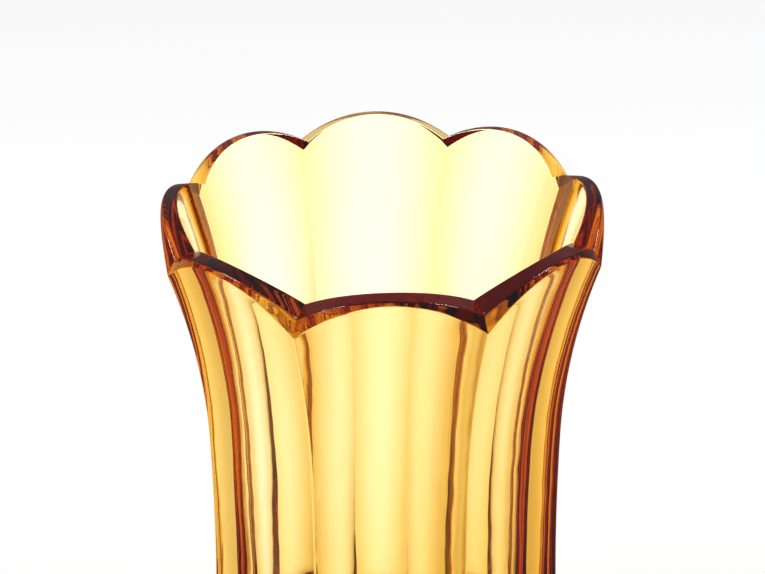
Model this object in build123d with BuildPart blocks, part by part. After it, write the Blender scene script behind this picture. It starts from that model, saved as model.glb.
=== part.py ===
"""Eight-sided glass vase with a scalloped, bevelled rim.

The vase is one piece of heavy glass. Outside it has waisted flat-cut panels that
meet in sharp ridges, inside it is a round hollow, and its rim is ground into one
petal for each panel, with a facet on top, a bevel outside and mitred corners.
Millimetres, +Z up, origin at the centre of the base.
"""
import os
from math import acos, atan2, cos, degrees, radians, sin, tan

from build123d import *

# Panels: an apothem is the distance from the axis to the middle of a panel
panel_count = 8
rim_apothem = 65.4
waist_inset = 11.7
foot_inset = 2.0
waist_height = 145.5
heel_radius = 4.0

# Rim: slopes are measured on the mitres, in degrees below level
corner_height = 210.0
petal_rise = 7.4
bevel_inset = 1.0
top_slope = 13.0
bevel_slope = 63.5

# Hollow: walls are measured at the middle of a panel
waist_wall = 4.4
rim_wall = 5.4
foot_wall = 10.2
floor_thickness = 17.0
floor_corner_radius = 14.0

# Levels and widths that follow from the sizes above
half_sector = radians(180 / panel_count)
waist_apothem = rim_apothem - waist_inset
foot_apothem = rim_apothem - foot_inset
crest_height = corner_height + petal_rise
rim_edge_radius = rim_apothem - bevel_inset
reach = 2 * max(rim_apothem, waist_apothem, foot_apothem)


def petal_cone(slope):
    """The cone, with its tip on the vase's axis, that passes through a petal's crest
    and both of its corners: the tip's height, the dip of the cone's own axis below
    level and the cone's half angle, in degrees."""
    tip_height = corner_height + rim_edge_radius * tan(radians(slope))
    crest = Vector(rim_edge_radius, 0, crest_height - tip_height).normalized()
    corner = Vector(
        rim_edge_radius * cos(half_sector),
        rim_edge_radius * sin(half_sector),
        corner_height - tip_height,
    ).normalized()
    dip = atan2(crest.X - corner.X, crest.Z - corner.Z)
    half_angle = acos(Vector(cos(dip), 0, -sin(dip)).dot(crest))
    return tip_height, degrees(dip), degrees(half_angle)


def petal_cones(slope):
    """One such cone for each petal, cut off short of the tip that they all share."""
    tip_height, dip, half_angle = petal_cone(slope)
    start = tip_height - crest_height
    end = tip_height + reach
    spread = tan(radians(half_angle))
    with PolarLocations(0, panel_count):
        with Locations(Location((0, 0, tip_height), (0, dip - 90, 0))):
            with Locations((0, 0, -start)):
                Cone(
                    bottom_radius=end * spread,
                    top_radius=start * spread,
                    height=end - start,
                    align=(Align.CENTER, Align.CENTER, Align.MAX),
                )


# Shape that the petals' top facets are ground to
with BuildPart() as top_form:
    petal_cones(top_slope)
    Cylinder(reach, waist_height, align=(Align.CENTER, Align.CENTER, Align.MIN))

# Shape that the petals' outer bevels are ground to
with BuildPart() as bevel_form:
    petal_cones(bevel_slope)

# The vase: panels, then the rim, then the hollow
with BuildPart() as vase_body:
    for panel in range(panel_count):
        turn = 360 * panel / panel_count
        with BuildSketch(Plane.XZ.rotated((0, 0, turn))) as panel_profile:
            with BuildLine():
                heel = (foot_apothem, 0)
                waist = (waist_apothem, waist_height)
                crest = (rim_apothem, crest_height)
                TangentArc(waist, heel, tangent=(0, -1))
                flare = TangentArc(waist, crest, tangent=(0, 1))
                blank = PolarLine(crest, petal_rise, direction=flare % 1) @ 1
                Polyline(blank, (-reach, blank.Y), (-reach, 0), heel)
            make_face()
            fillet(panel_profile.vertices().sort_by_distance(heel)[0], heel_radius)
        extrude(amount=reach, both=True, mode=Mode.INTERSECT if panel else Mode.ADD)
    add(top_form.part, mode=Mode.INTERSECT)
    add(bevel_form.part, mode=Mode.INTERSECT)
    with BuildSketch(Plane.XZ) as hollow_profile:
        with BuildLine():
            floor_corner = (foot_apothem - foot_wall, floor_thickness)
            waist = (waist_apothem - waist_wall, waist_height)
            crest = (rim_apothem - rim_wall, crest_height)
            TangentArc(waist, floor_corner, tangent=(0, -1))
            flare = TangentArc(waist, crest, tangent=(0, 1))
            mouth = PolarLine(crest, petal_rise, direction=flare % 1) @ 1
            Polyline(mouth, (0, mouth.Y), (0, floor_thickness), floor_corner)
        make_face()
        fillet(hollow_profile.vertices().sort_by_distance(floor_corner)[0], floor_corner_radius)
    revolve(axis=Axis.Z, mode=Mode.SUBTRACT)

vase_body.part.label = "vase_body"
os.makedirs("parts", exist_ok=True)
export_step(vase_body.part, "parts/vase_body.step")
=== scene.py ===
# %% [markdown]
# # An amber glass vase with a petal rim
#
# The vase is one heavy piece of glass. Outside, eight panels are cut into it, and they meet in ridges.
# Inside it is round. The rim is ground into eight petals, each with a facet on top and a bevel
# outside. We load the imported CAD model first. It fixes the size and the place of everything that
# follows.

# %% Load the frame
import math

import bpy
import numpy as np
from mathutils import Matrix, Vector


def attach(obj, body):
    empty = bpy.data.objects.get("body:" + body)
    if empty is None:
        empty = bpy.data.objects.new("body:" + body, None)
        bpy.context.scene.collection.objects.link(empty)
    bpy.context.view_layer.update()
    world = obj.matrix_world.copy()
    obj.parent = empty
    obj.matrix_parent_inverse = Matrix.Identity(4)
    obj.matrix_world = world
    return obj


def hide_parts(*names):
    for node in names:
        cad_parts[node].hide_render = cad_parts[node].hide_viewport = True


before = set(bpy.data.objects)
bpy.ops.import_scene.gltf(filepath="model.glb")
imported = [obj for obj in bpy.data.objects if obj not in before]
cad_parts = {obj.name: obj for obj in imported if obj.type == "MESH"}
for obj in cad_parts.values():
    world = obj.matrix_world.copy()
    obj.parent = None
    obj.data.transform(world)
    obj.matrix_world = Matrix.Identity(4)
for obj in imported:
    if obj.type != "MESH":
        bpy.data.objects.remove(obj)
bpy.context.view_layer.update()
scene = bpy.context.scene
scene.view_settings.view_transform = "Standard"

# %% [markdown]
# ## Camera
#
# The photograph looks down into the mouth from a little above, close to the vase. A camera can be
# set by eye, but here its place was fitted to the corners of the rim, so that edges land where they
# do in the picture. It stands on a sphere round the middle of the rim's corners: `camera_turn` goes
# round the axis, `camera_rise` goes up, and `camera_dip` and `camera_roll` turn it on the spot. The
# lens is written as a focal length in pixels, and the sensor's width turns that into millimetres.

# %% Place the camera
CORNER_HEIGHT = 0.210
PICTURE_WIDTH = 765
SENSOR_WIDTH = 36.0
FOCAL_PIXELS = 1452.6
camera_distance = 0.4333
camera_turn = math.radians(-1.99)
camera_rise = math.radians(26.34)
camera_dip = math.radians(2.78)
camera_roll = math.radians(-0.34)

camera_data = bpy.data.cameras.new("camera")
camera_data.sensor_width = SENSOR_WIDTH
camera_data.lens = FOCAL_PIXELS * SENSOR_WIDTH / PICTURE_WIDTH
camera = bpy.data.objects.new("camera", camera_data)
camera.matrix_world = (
    Matrix.Translation((0, 0, CORNER_HEIGHT))
    @ Matrix.Rotation(camera_turn, 4, "Z")
    @ Matrix.Rotation(math.pi / 2 - camera_rise, 4, "X")
    @ Matrix.Translation((0, 0, camera_distance))
    @ Matrix.Rotation(-camera_dip, 4, "X")
    @ Matrix.Rotation(camera_roll, 4, "Z")
)
scene.collection.objects.link(camera)
scene.camera = camera
print("Camera at", [round(value, 3) for value in camera.matrix_world.translation])

# %% [markdown]
# ## Upright curves
#
# Seen from the side, the outside and the hollow are both waisted. Each is an arc above the waist and
# a longer arc below it, and both arcs run upright where they meet. Such an arc needs only its height
# and how far it leaves the upright line. The same function serves the panels and the hollow, so the
# thickness of the wall comes out of two curves, as it does on the lathe.

# %% Widths of the outside and of the hollow
WAIST_HEIGHT = 0.1455
PETAL_RISE = 0.0074
CREST_HEIGHT = CORNER_HEIGHT + PETAL_RISE
FLOOR_HEIGHT = 0.017
OUTSIDE = {"waist": 0.0537, "rim": 0.0654, "foot": 0.0634, "foot_height": 0.0}
HOLLOW = {"waist": 0.0493, "rim": 0.0600, "foot": 0.0532, "foot_height": FLOOR_HEIGHT}


def arc_radius(height, offset):
    """Radius of the arc that starts upright and is `offset` aside after `height`:
    half of (height squared plus offset squared) over the offset."""
    return (height**2 + offset**2) / (2 * offset)


def lower_radius(curve):
    """Radius of a curve's arc below the waist."""
    return arc_radius(WAIST_HEIGHT - curve["foot_height"], curve["foot"] - curve["waist"])


def width_at(curve, z):
    """Distance from the axis at height z: the waist's, plus what the arc has left
    the upright line by, which is its radius less the root of (radius squared less
    the height from the waist squared)."""
    upper = arc_radius(CREST_HEIGHT - WAIST_HEIGHT, curve["rim"] - curve["waist"])
    radius = np.where(z > WAIST_HEIGHT, upper, lower_radius(curve))
    return curve["waist"] + radius - np.sqrt(radius**2 - (z - WAIST_HEIGHT) ** 2)


def corner_arc(curve, corner_radius, steps):
    """Distances and heights along the rounding between a curve and the level at its
    foot: a circle that touches the level and, from inside, the curve's lower arc."""
    radius = lower_radius(curve)
    height = curve["foot_height"] + corner_radius
    drop = WAIST_HEIGHT - height
    arc_centre = curve["waist"] + radius
    centre = arc_centre - math.sqrt((radius + corner_radius) ** 2 - drop**2)
    turn = np.linspace(-math.pi / 2, math.atan2(drop, arc_centre - centre), steps)
    return centre + corner_radius * np.cos(turn), height + corner_radius * np.sin(turn)


waist_wall = OUTSIDE["waist"] - HOLLOW["waist"]
print("Wall at the waist in millimetres:", round(1000 * waist_wall, 2))

# %% [markdown]
# ## Panels and ridges
#
# The outside is an octagon at every height. A flat panel is a line at a fixed distance from the axis,
# so in polar form its radius is that distance over the cosine of the angle. The ridge between two
# panels is not a perfect edge: polishing rounds it a little, and that thin round is what catches the
# light. All panels are alike, so one panel's columns serve for all eight, with more of them close to
# a ridge, where the section bends.

# %% Section of the outside
PANELS = 8
SECTOR = 2 * math.pi / PANELS
HALF_SECTOR = SECTOR / 2
RIDGE_RADIUS = 0.0008
RIDGE_SHARE = 0.02
RIDGE_COLUMNS = 7
FLAT_COLUMNS = 27

ridge_share = RIDGE_SHARE * np.linspace(0, 1, RIDGE_COLUMNS)
flat_share = np.linspace(RIDGE_SHARE, 1 - RIDGE_SHARE, FLAT_COLUMNS)
across_panel = np.concatenate([ridge_share[:-1], flat_share, 1 - ridge_share[-2:0:-1]])
panel_offset = SECTOR * across_panel - HALF_SECTOR
column_offset = np.tile(panel_offset, PANELS)
column_angle = (SECTOR * np.arange(PANELS)[:, None] + panel_offset).ravel()
columns = len(column_angle)


def panel_section(width):
    """Radius of the outside in every column, from the panels' distance to the axis. On a flat it
    is the distance over the cosine of the angle from the panel's middle. Past the touching point
    with a ridge's round, whose centre is where the flats moved in by its radius cross, it is the
    far side of that circle."""
    inner = width - RIDGE_RADIUS
    centre = inner / math.cos(HALF_SECTOR)
    from_ridge = HALF_SECTOR - np.abs(column_offset)
    rest = np.maximum(RIDGE_RADIUS**2 - (centre * np.sin(from_ridge)) ** 2, 0)
    round_part = centre * np.cos(from_ridge) + np.sqrt(rest)
    on_flat = width * np.tan(np.abs(column_offset)) <= inner * math.tan(HALF_SECTOR)
    return np.where(on_flat, width / np.cos(column_offset), round_part)


rim_section = panel_section(OUTSIDE["rim"])
print("Columns round the vase:", columns)

# %% [markdown]
# ## Petals of the rim
#
# The rim is ground twice: a facet on top and a bevel outside. Each petal's facet is part of a cone
# that has its tip on the vase's axis and passes through the petal's crest and its two corners. Lines
# from the tip stay on the cone, so in any direction the facet falls outward at one steady slope, and
# neighbouring petals meet in straight mitres. The slope follows from a quadratic equation. This gives
# every edge of the rim as a crossing of simple curves, with no boolean operation.

# %% Slopes of the facets and the bevels
RIM_EDGE_RADIUS = 0.0644
TOP_SLOPE = math.radians(13.0)
BEVEL_SLOPE = math.radians(63.5)


def petal_cone(mitre_slope):
    """Tip height of a petal's cone and its fall per metre outward in every column. The
    cone holds the directions whose dot product with its axis is its half angle's cosine."""
    tip = CORNER_HEIGHT + RIM_EDGE_RADIUS * math.tan(mitre_slope)
    crest = Vector((RIM_EDGE_RADIUS, 0, CREST_HEIGHT - tip)).normalized()
    corner = Vector(
        (
            RIM_EDGE_RADIUS * math.cos(HALF_SECTOR),
            RIM_EDGE_RADIUS * math.sin(HALF_SECTOR),
            CORNER_HEIGHT - tip,
        )
    ).normalized()
    dip = math.atan2(crest.x - corner.x, crest.z - corner.z)
    spread = math.cos(dip) * crest.x - math.sin(dip) * crest.z
    level = math.cos(dip) * np.cos(column_offset)
    square = math.sin(dip) ** 2 - spread**2
    straight = level * math.sin(dip)
    root = np.sqrt(straight**2 - square * (level**2 - spread**2))
    falls = np.stack([-straight - root, -straight + root]) / square
    crest_fall = (tip - CREST_HEIGHT) / RIM_EDGE_RADIUS
    middle = np.argmin(np.abs(column_offset))
    nearest = np.argmin(np.abs(falls[:, middle] - crest_fall))
    return tip, falls[nearest]


top_tip, top_fall = petal_cone(TOP_SLOPE)
bevel_tip, bevel_fall = petal_cone(BEVEL_SLOPE)
print("Top facet falls from", round(top_fall.min(), 3), "to", round(top_fall.max(), 3))

# %% [markdown]
# ## Edges of the rim
#
# Three edges run round the rim: panel to bevel, bevel to facet, and facet to hollow. The middle one
# is where two straight slopes meet, so it has a formula. The other two meet a curve, so the height is
# found by halving: start with a span that holds the crossing and keep the half that still holds it.
# Forty halvings reach far below a thousandth of a millimetre, for all columns at once.

# %% Find the three edges
HALVINGS = 40


def crossing_height(gap):
    """Height in every column at which gap, which rises with height, is zero."""
    low = np.full(columns, WAIST_HEIGHT)
    high = np.full(columns, CREST_HEIGHT + PETAL_RISE)
    for _ in range(HALVINGS):
        middle = (low + high) / 2
        past = gap(middle) > 0
        low = np.where(past, low, middle)
        high = np.where(past, middle, high)
    return (low + high) / 2


def scaled_outside(z):
    """Outside radius in every column at heights z: the rim's section in the ratio of the widths."""
    return rim_section * width_at(OUTSIDE, z) / OUTSIDE["rim"]


panel_edge_z = crossing_height(
    lambda z: scaled_outside(z) - (bevel_tip - z) / bevel_fall
)
panel_edge = np.stack([scaled_outside(panel_edge_z), panel_edge_z])
facet_edge_r = (bevel_tip - top_tip) / (bevel_fall - top_fall)
facet_edge = np.stack([facet_edge_r, top_tip - top_fall * facet_edge_r])
mouth_edge_z = crossing_height(
    lambda z: width_at(HOLLOW, z) - (top_tip - z) / top_fall
)
mouth_edge = np.stack([width_at(HOLLOW, mouth_edge_z), mouth_edge_z])
for label, edge in (("panel", panel_edge), ("facet", facet_edge), ("mouth", mouth_edge)):
    print(f"{label} edge height in millimetres:", np.round(1000 * edge[1].min(), 2),
          "to", np.round(1000 * edge[1].max(), 2))

# %% [markdown]
# ## Rows up the outside
#
# A lathe turner would draw the vase's outline as one line: out along the base, round the heel, up the
# outside, over the rim and down the hollow to the floor. We do the same, once for every column, and
# stack the results as the rows of one closed grid. The first rows cover the flat base, the rounded
# heel and the panels, up to just below the bevel.

# %% Rows of the base, the heel and the panels
HEEL_RADIUS = 0.004
HEEL_ROWS = 8
BASE_ROWS = 7
WALL_ROWS = 96
ARRIS = 0.00035

ones = np.ones(columns)
heel_width, heel_z = corner_arc(OUTSIDE, HEEL_RADIUS, HEEL_ROWS)
heel = np.stack([panel_section(heel_width[:, None] * ones), heel_z[:, None] * ones], axis=1)
base_share = np.linspace(0, 1, BASE_ROWS + 2)[1:-1]
base = heel[0] * base_share[:, None, None]

climb = np.linspace(0, 1, WALL_ROWS)[1:, None]
wall_z = heel_z[-1] + (panel_edge_z - ARRIS - heel_z[-1]) * climb
wall = np.stack([panel_section(width_at(OUTSIDE, wall_z)), wall_z], axis=1)
print("Rows up the outside:", len(base) + len(heel) + len(wall))

# %% [markdown]
# ## Rows over the rim
#
# The bevel and the facet are straight between their edges. An edge that was ground on a wheel and
# then polished is never quite sharp, so each one is softened by a short curve pulled towards the
# edge. A modifier could bevel the edges too, but here the rows are laid where we want them.

# %% Rows of the bevel and the facet
EDGE_ROWS = 5
BEVEL_ROWS = 3
FACET_ROWS = 4


def soft_edge(before, edge, after):
    """Rows over an edge: the curve that leaves `before`, is pulled towards `edge` and ends at
    `after`; weights (1-u)(1-u), 2u(1-u) and uu."""
    u = np.linspace(0, 1, EDGE_ROWS)[:, None, None]
    return (1 - u) ** 2 * before + 2 * u * (1 - u) * edge + u**2 * after


def towards(start, end):
    """The point one arris's width from start on the way to end, in every column."""
    way = end - start
    return start + way * ARRIS / np.hypot(way[0], way[1])


def straight_rows(start, end, steps):
    """Rows spread evenly between two rows, without the first and the last."""
    u = np.linspace(0, 1, steps + 2)[1:-1, None, None]
    return start + (end - start) * u


bevel_low = towards(panel_edge, facet_edge)
bevel_high = towards(facet_edge, panel_edge)
facet_out = towards(facet_edge, mouth_edge)
facet_in = towards(mouth_edge, facet_edge)
rim = np.concatenate(
    [
        soft_edge(wall[-1], panel_edge, bevel_low)[1:],
        straight_rows(bevel_low, bevel_high, BEVEL_ROWS),
        soft_edge(bevel_high, facet_edge, facet_out),
        straight_rows(facet_out, facet_in, FACET_ROWS),
    ]
)
print("Rows over the rim:", len(rim))

# %% [markdown]
# ## Rows down the hollow
#
# Inside, the vase is round, so the radius depends on the height alone. The rows are spread evenly from
# the mouth's edge, which rises and falls with the petals, down to the rounding above the floor. That
# rounding is wide, so that no corner inside is hard to clean.

# %% Rows of the mouth, the hollow and the floor inside
FLOOR_CORNER_RADIUS = 0.014
CORNER_ROWS = 12
FLOOR_ROWS = 7

floor_width, floor_z = corner_arc(HOLLOW, FLOOR_CORNER_RADIUS, CORNER_ROWS)
hollow_top_z = mouth_edge_z - ARRIS
hollow_z = floor_z[-1] + (hollow_top_z - floor_z[-1]) * climb[::-1]
hollow = np.stack([width_at(HOLLOW, hollow_z), hollow_z], axis=1)
mouth = soft_edge(facet_in, mouth_edge, hollow[0])[:-1]

floor_corner = np.stack([floor_width[::-1, None] * ones, floor_z[::-1, None] * ones], axis=1)
floor_share = np.linspace(1, 0, FLOOR_ROWS + 2)[1:-1]
floor_disc = np.stack(
    [
        floor_width[0] * floor_share[:, None] * ones,
        np.full((FLOOR_ROWS, columns), FLOOR_HEIGHT),
    ],
    axis=1,
)
outline = np.concatenate([base, heel, wall, rim, mouth, hollow, floor_corner, floor_disc])
print("Rows from base to floor:", len(outline))

# %% [markdown]
# ## An imperfect hollow
#
# A handmade hollow is never quite true. This one leans two millimetres aside below the rim, and its
# wall waves a little in and out, most of all near the mouth. Nobody sees that on the wall itself, but
# it moves the stripes that show through the panels and mottles the bevels. A bump in the material
# would be missing from the exported mesh, so the waves go into the shape. They fade at the mouth's
# edge and at the floor, so that both stay clean.

# %% Lean and ripple the hollow
HOLLOW_LEAN = -0.0020
LEAN_DEPTH = 0.09
RIPPLE_SLOPE = 0.0025
RIM_RIPPLE = 8.0
RIM_DEPTH = 0.016
RIPPLE_FADE = 0.002
RIPPLE_WAVES = (
    (5, 130),
    (8, -310),
    (13, 240),
    (4, 520),
    (17, -420),
    (11, 690),
    (23, 150),
)


def ripple(height):
    """How far the hollow's wall waves in and out: a sum of sine waves, each given by its count
    round the vase and its radians per metre of height. A wave's height is the slope over its
    steepness, so that long waves are high and short ones low."""
    waves = np.zeros(height.shape)
    for count, climb_rate in RIPPLE_WAVES:
        steepness = math.hypot(count / HOLLOW["waist"], climb_rate)
        waves += np.sin(count * column_angle + climb_rate * height + count) / steepness
    return RIPPLE_SLOPE * waves


radius, height = outline[:, 0], outline[:, 1]
inside_rows = len(hollow) + len(floor_corner) + len(floor_disc)
inside = (np.arange(len(outline)) >= len(outline) - inside_rows)[:, None]
depth = hollow_top_z - height
below_mouth = np.clip(depth / RIPPLE_FADE, 0, 1)
above_floor = np.clip((height - FLOOR_HEIGHT) / RIPPLE_FADE, 0, 1)
rim_share = np.clip(1 - depth / RIM_DEPTH, 0, 1)
swell = inside * below_mouth * above_floor * (1 + RIM_RIPPLE * rim_share**2)
radius = radius + swell * ripple(height)

sink = np.clip((CORNER_HEIGHT - height) / LEAN_DEPTH, 0, 1)
aside = inside * HOLLOW_LEAN * sink**2 * (3 - 2 * sink)
grid = np.stack(
    [radius * np.cos(column_angle) + aside, radius * np.sin(column_angle), height], axis=-1
)
print("Deepest ripple in millimetres:", round(1000 * np.abs(swell * ripple(height)).max(), 3))

# %% [markdown]
# ## The vase
#
# The rows and columns now become one mesh. Neighbouring rows give quads, the columns close round the
# axis, and the centres of the base and of the floor inside are single points with a fan of triangles,
# so the glass is a closed volume. That matters: light is bent and coloured between an entry and an
# exit, and a gap would spoil both. Faces are smooth, except along the mitres, where petals meet.

# %% Make the vase's mesh
MITRE_ANGLE = math.radians(20)


def closed_mesh(name, grid, first_pole, last_pole):
    """A mesh of rows that close round the axis, with a fan at either end."""
    rows, count = grid.shape[:2]
    index = 1 + np.arange(rows * count).reshape(rows, count)
    beside = np.roll(index, -1, axis=1)
    quads = np.stack([index[:-1], beside[:-1], beside[1:], index[1:]], axis=-1)
    first = np.stack([np.zeros(count, int), beside[0], index[0]], axis=-1)
    last = np.stack([index[-1], beside[-1], np.full(count, rows * count + 1)], axis=-1)
    points = np.concatenate([[first_pole], grid.reshape(-1, 3), [last_pole]])
    faces = first.tolist() + quads.reshape(-1, 4).tolist() + last.tolist()
    mesh = bpy.data.meshes.new(name)
    mesh.from_pydata(points.tolist(), [], faces)
    return mesh


vase_mesh = closed_mesh("vase", grid, (0, 0, 0), (HOLLOW_LEAN, 0, FLOOR_HEIGHT))
vase_mesh.shade_smooth()
vase_mesh.set_sharp_from_angle(angle=MITRE_ANGLE)
vase = bpy.data.objects.new("vase", vase_mesh)
scene.collection.objects.link(vase)
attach(vase, "root")
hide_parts("vase_body")
print("Faces of the vase:", len(vase_mesh.polygons))

# %% [markdown]
# ## Writing shaders as expressions
#
# A material is a graph of nodes, and a graph drawn by hand is hard to read as text. The class below
# wraps one output of a node, so that `1 - mask * 0.5` adds the Math nodes it needs. Every other node
# is made by `node`, which sets its settings first and then its sockets, by value or by link.

# %% A socket that does arithmetic
class Wire:
    """One output of a node in a node tree."""

    def __init__(self, tree, socket=None):
        self.tree = tree
        self.socket = socket

    def node(self, kind, settings=(), sockets=(), output=0):
        """Add a node, set its settings, then its sockets, and return one of its outputs."""
        made = self.tree.nodes.new(kind)
        for key, value in dict(settings).items():
            setattr(made, key, value)
        for key, value in dict(sockets).items():
            if isinstance(value, Wire):
                self.tree.links.new(value.socket, made.inputs[key])
            else:
                made.inputs[key].default_value = value
        return Wire(self.tree, made.outputs[output] if made.outputs else None)

    def math(self, operation, *values, clamp=False):
        """Add a Math node for this operation on the values."""
        settings = {"operation": operation, "use_clamp": clamp}
        return self.node("ShaderNodeMath", settings, dict(enumerate(values)))

    def clamped(self):
        """This value, held between 0 and 1."""
        return self.math("ADD", self, 0.0, clamp=True)

    def __add__(self, other):
        return self.math("ADD", self, other)

    def __radd__(self, other):
        return self.math("ADD", other, self)

    def __sub__(self, other):
        return self.math("SUBTRACT", self, other)

    def __rsub__(self, other):
        return self.math("SUBTRACT", other, self)

    def __mul__(self, other):
        return self.math("MULTIPLY", self, other)

    def __rmul__(self, other):
        return self.math("MULTIPLY", other, self)


def empty_tree(owner):
    """Turn on an owner's nodes, clear them and return a wire to build with."""
    owner.use_nodes = True
    owner.node_tree.nodes.clear()
    return Wire(owner.node_tree)


print("Wires are ready")

# %% [markdown]
# ## Amber glass
#
# The colour of solid glass sits in its depth: thin places look pale yellow, and thick places and long
# inside paths look orange and brown. Volume Absorption does that by itself. The surface is polished
# but handmade, with faint streaks left by stirring the melt and a slow waviness from the wheel, and
# the base is worn by standing. Those vary over the surface, so they go into the base colour, the
# roughness and a bump. The absorption's colour and density stay plain numbers on its own sockets.

# %% Make the glass
GLASS_IOR = 1.52
ABSORPTION_COLOR = (0.915, 0.715, 0.04, 1.0)
ABSORPTION_DENSITY = 105.0
WHITE = (1.0, 1.0, 1.0, 1.0)
STREAK_TINT = (1.0, 0.965, 0.90, 1.0)
STREAKS_PER_METRE = (60.0, 60.0, 9.0)
SCUFFS_PER_METRE = 900.0
WEAR_FADE = 2500.0
WORN_ROUGHNESS = 0.15
WHEEL_MARKS_PER_METRE = 45.0
WHEEL_STRENGTH = 0.02
WHEEL_DEPTH = 0.001

glass = bpy.data.materials.new("amber_glass")
shade = empty_tree(glass)
place = shade.node("ShaderNodeTexCoord", output="Object")
stretched = shade.node(
    "ShaderNodeMapping", sockets={"Vector": place, "Scale": STREAKS_PER_METRE}
)
streaks = shade.node(
    "ShaderNodeTexNoise", sockets={"Vector": stretched, "Scale": 1.0, "Detail": 3.0}
)
tint = shade.node(
    "ShaderNodeMix",
    {"data_type": "RGBA"},
    {"Factor": streaks, 6: WHITE, 7: STREAK_TINT},
    output=2,
)
height_above_base = shade.node("ShaderNodeSeparateXYZ", sockets={"Vector": place}, output="Z")
scuffs = shade.node(
    "ShaderNodeTexNoise", sockets={"Vector": place, "Scale": SCUFFS_PER_METRE, "Detail": 4.0}
)
wear = (1.0 - height_above_base * WEAR_FADE).clamped()
roughness = wear * scuffs * WORN_ROUGHNESS
wheel_marks = shade.node(
    "ShaderNodeTexNoise", sockets={"Vector": place, "Scale": WHEEL_MARKS_PER_METRE, "Detail": 1.0}
)
bump = shade.node(
    "ShaderNodeBump",
    sockets={"Height": wheel_marks, "Strength": WHEEL_STRENGTH, "Distance": WHEEL_DEPTH},
)
surface = shade.node(
    "ShaderNodeBsdfPrincipled",
    sockets={
        "Base Color": tint,
        "Roughness": roughness,
        "IOR": GLASS_IOR,
        "Transmission Weight": 1.0,
        "Normal": bump,
    },
)
depth_colour = shade.node(
    "ShaderNodeVolumeAbsorption",
    sockets={"Color": ABSORPTION_COLOR, "Density": ABSORPTION_DENSITY},
)
shade.node("ShaderNodeOutputMaterial", sockets={"Surface": surface, "Volume": depth_colour})
vase_mesh.materials.append(glass)
print("Glass nodes:", len(glass.node_tree.nodes))

# %% [markdown]
# ## Floor
#
# The vase stands on a plain pale floor that is wide enough to fill the picture. Seen directly, it is
# white card with the vase's soft shadow: more than half of its light is its own, so that it reads as
# white without more light on the glass. Rays that have passed through the glass, or were mirrored in
# it, go on through the floor to the light tent below, so the glass shows the tent from every side.
# Only right under the base do they meet a glowing amber patch instead of card lit by the lamps. The
# patch is painted shade of the vase and painted amber light through the glass.

# %% Make the floor
FLOOR_REACH = 4.0
FLOOR_DROP = 0.0002
FLOOR_COLOR = (0.93, 0.93, 0.93, 1.0)
OWN_LIGHT = 0.6
# Strength and colour of the glowing patch under the base: painted shade of the vase with painted amber
# light through the glass.
PAINTED_GLOW_LEVEL = 0.75
PAINTED_AMBER_COLOR = (1.0, 0.78, 0.38, 1.0)
BASE_EDGE = 0.052
EDGE_SOFTNESS = 0.012

floor_mesh = bpy.data.meshes.new("floor")
corners = FLOOR_REACH * np.array([[-1, -1, 0], [1, -1, 0], [1, 1, 0], [-1, 1, 0]])
floor_mesh.from_pydata(corners.tolist(), [], [[0, 1, 2, 3]])
floor = bpy.data.objects.new("floor", floor_mesh)
floor.location.z = -FLOOR_DROP
scene.collection.objects.link(floor)

card = bpy.data.materials.new("white_card")
shade = empty_tree(card)
paint = shade.node("ShaderNodeBsdfDiffuse", sockets={"Color": FLOOR_COLOR})
glow = shade.node("ShaderNodeEmission", sockets={"Color": WHITE, "Strength": 1.0})
lit_card = shade.node("ShaderNodeMixShader", sockets={0: OWN_LIGHT, 1: paint, 2: glow})
in_glass = shade.math(
    "MAXIMUM",
    shade.node("ShaderNodeLightPath", output="Is Transmission Ray"),
    shade.node("ShaderNodeLightPath", output="Is Glossy Ray"),
)
see_through = shade.node("ShaderNodeBsdfTransparent")
place = shade.node("ShaderNodeTexCoord", output="Object")
from_axis = shade.node(
    "ShaderNodeVectorMath", {"operation": "LENGTH"}, {0: place}, output="Value"
)
# Under the base the glass rays see a glow: painted shade and painted amber light, not card lit by a
# lamp.
painted_patch_share = ((BASE_EDGE - from_axis) * (1 / EDGE_SOFTNESS) + 0.5).clamped()
painted_shade_glow = shade.node(
    "ShaderNodeEmission", sockets={"Color": PAINTED_AMBER_COLOR, "Strength": PAINTED_GLOW_LEVEL}
)
below_glass = shade.node(
    "ShaderNodeMixShader", sockets={0: painted_patch_share, 1: see_through, 2: painted_shade_glow}
)
floor_look = shade.node(
    "ShaderNodeMixShader", sockets={0: in_glass, 1: lit_card, 2: below_glass}
)
shade.node("ShaderNodeOutputMaterial", sockets={"Surface": floor_look})
floor_mesh.materials.append(card)
print("Floor reaches", FLOOR_REACH, "metres each way")

# %% [markdown]
# ## Light tent
#
# Glass has no look of its own: it shows what stands round it. Clear edges need dark places for the
# glass to pick up, and bright panels need a white backdrop. Photographers call this bright field
# lighting: a white backdrop behind, dimmer and slightly warm card at the sides, and a dim ceiling.
# The world does that here by direction. Rays that came through the glass see the tent, rays that are
# mirrored off its outside see a dark room, so the gloss stays thin, and the camera sees plain white.

# %% Make the world
BACKDROP_LEVEL = 1.6
SIDE_LEVEL = 0.95
CEILING_LEVEL = 0.28
MIRROR_LEVEL = 0.15
FILL_LEVEL = 0.6
BACKDROP_FOCUS = 6.5
TONE_FOCUS = 16.0
BACKDROP_MIDDLE = (0.0, 1.0, 0.0)
CEILING_START = 0.1
CEILING_SOFT = 4.0
SIDE_COLOR = (1.0, 0.9, 0.6, 1.0)

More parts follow.
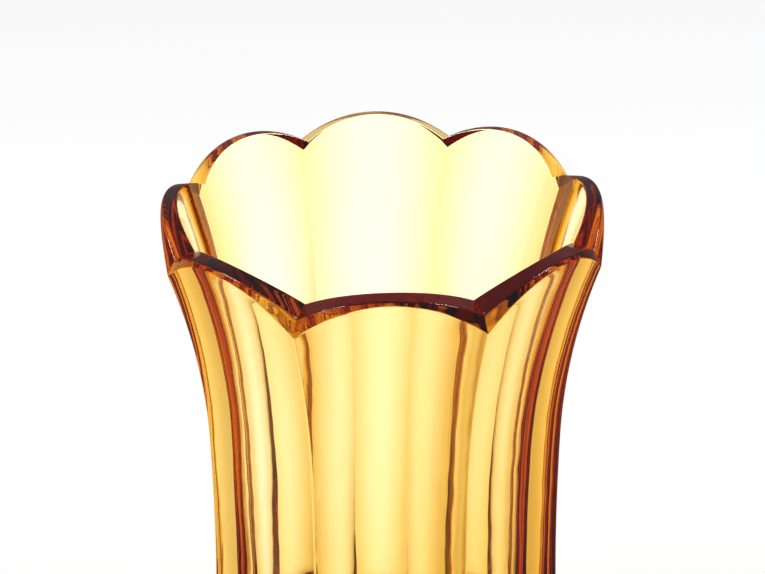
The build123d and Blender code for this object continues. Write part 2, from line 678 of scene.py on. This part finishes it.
world = bpy.data.worlds.new("light_tent")
scene.world = world
shade = empty_tree(world)
direction = shade.node("ShaderNodeTexCoord", output="Generated")
up = shade.node("ShaderNodeSeparateXYZ", sockets={"Vector": direction}, output="Z")
level_way = shade.node(
    "ShaderNodeVectorMath", {"operation": "MULTIPLY"}, {0: direction, 1: (1.0, 1.0, 0.0)}
)
level_way = shade.node("ShaderNodeVectorMath", {"operation": "NORMALIZE"}, {0: level_way})
facing = shade.node(
    "ShaderNodeVectorMath",
    {"operation": "DOT_PRODUCT"},
    {0: level_way, 1: BACKDROP_MIDDLE},
    output="Value",
)
facing = facing * 0.5 + 0.5
focus = shade.math("POWER", facing, BACKDROP_FOCUS)
through = shade.node("ShaderNodeLightPath", output="Is Transmission Ray")
around = focus * (BACKDROP_LEVEL - SIDE_LEVEL) + SIDE_LEVEL
around = through * (around - MIRROR_LEVEL) + MIRROR_LEVEL
ceiling = ((up - CEILING_START) * CEILING_SOFT).clamped()
tent = around + ceiling * (CEILING_LEVEL - around)
on_glass = shade.node("ShaderNodeLightPath", output="Is Glossy Ray")
in_glass = shade.math("MAXIMUM", through, on_glass)
strength = in_glass * (tent - FILL_LEVEL) + FILL_LEVEL
seen = shade.node("ShaderNodeLightPath", output="Is Camera Ray")
strength = shade.math("MAXIMUM", strength, seen)
tone_focus = shade.math("POWER", facing, TONE_FOCUS)
white_share = shade.math("MAXIMUM", tone_focus, 1.0 - through)
tone = shade.node(
    "ShaderNodeMix",
    {"data_type": "RGBA"},
    {"Factor": white_share, 6: SIDE_COLOR, 7: WHITE},
    output=2,
)
light = shade.node("ShaderNodeBackground", sockets={"Color": tone, "Strength": strength})
shade.node("ShaderNodeOutputWorld", sockets={"Surface": light})
print("World nodes:", len(world.node_tree.nodes))

# %% [markdown]
# ## Soft boxes
#
# Two soft boxes hang to the left and the right, above the vase. They put thin white lines on the
# rounded edges of the rim and give the floor a soft shadow. They are large, so nothing is hard. A ray
# crosses thick glass many times before it leaves, so it is given more bounces than usual.

# %% Place the soft boxes
GLASS_BOUNCES = 32
MIRROR_BOUNCES = 16
BOX_POWER = 8.0
BOX_SIZE = (0.5, 0.5)
BOX_PLACES = {"left": (-0.9, 0.0, 1.2), "right": (0.9, 0.0, 1.2)}
for side, spot in BOX_PLACES.items():
    box_data = bpy.data.lights.new(f"soft_box_{side}", "AREA")
    box_data.shape = "RECTANGLE"
    box_data.size, box_data.size_y = BOX_SIZE
    box_data.energy = BOX_POWER
    box = bpy.data.objects.new(f"soft_box_{side}", box_data)
    box.location = spot
    aim = Vector((0, 0, CORNER_HEIGHT)) - Vector(spot)
    box.rotation_euler = aim.to_track_quat("-Z", "Y").to_euler()
    scene.collection.objects.link(box)
scene.cycles.max_bounces = GLASS_BOUNCES
scene.cycles.transmission_bounces = GLASS_BOUNCES
scene.cycles.glossy_bounces = MIRROR_BOUNCES
print("Soft boxes:", len(BOX_PLACES))
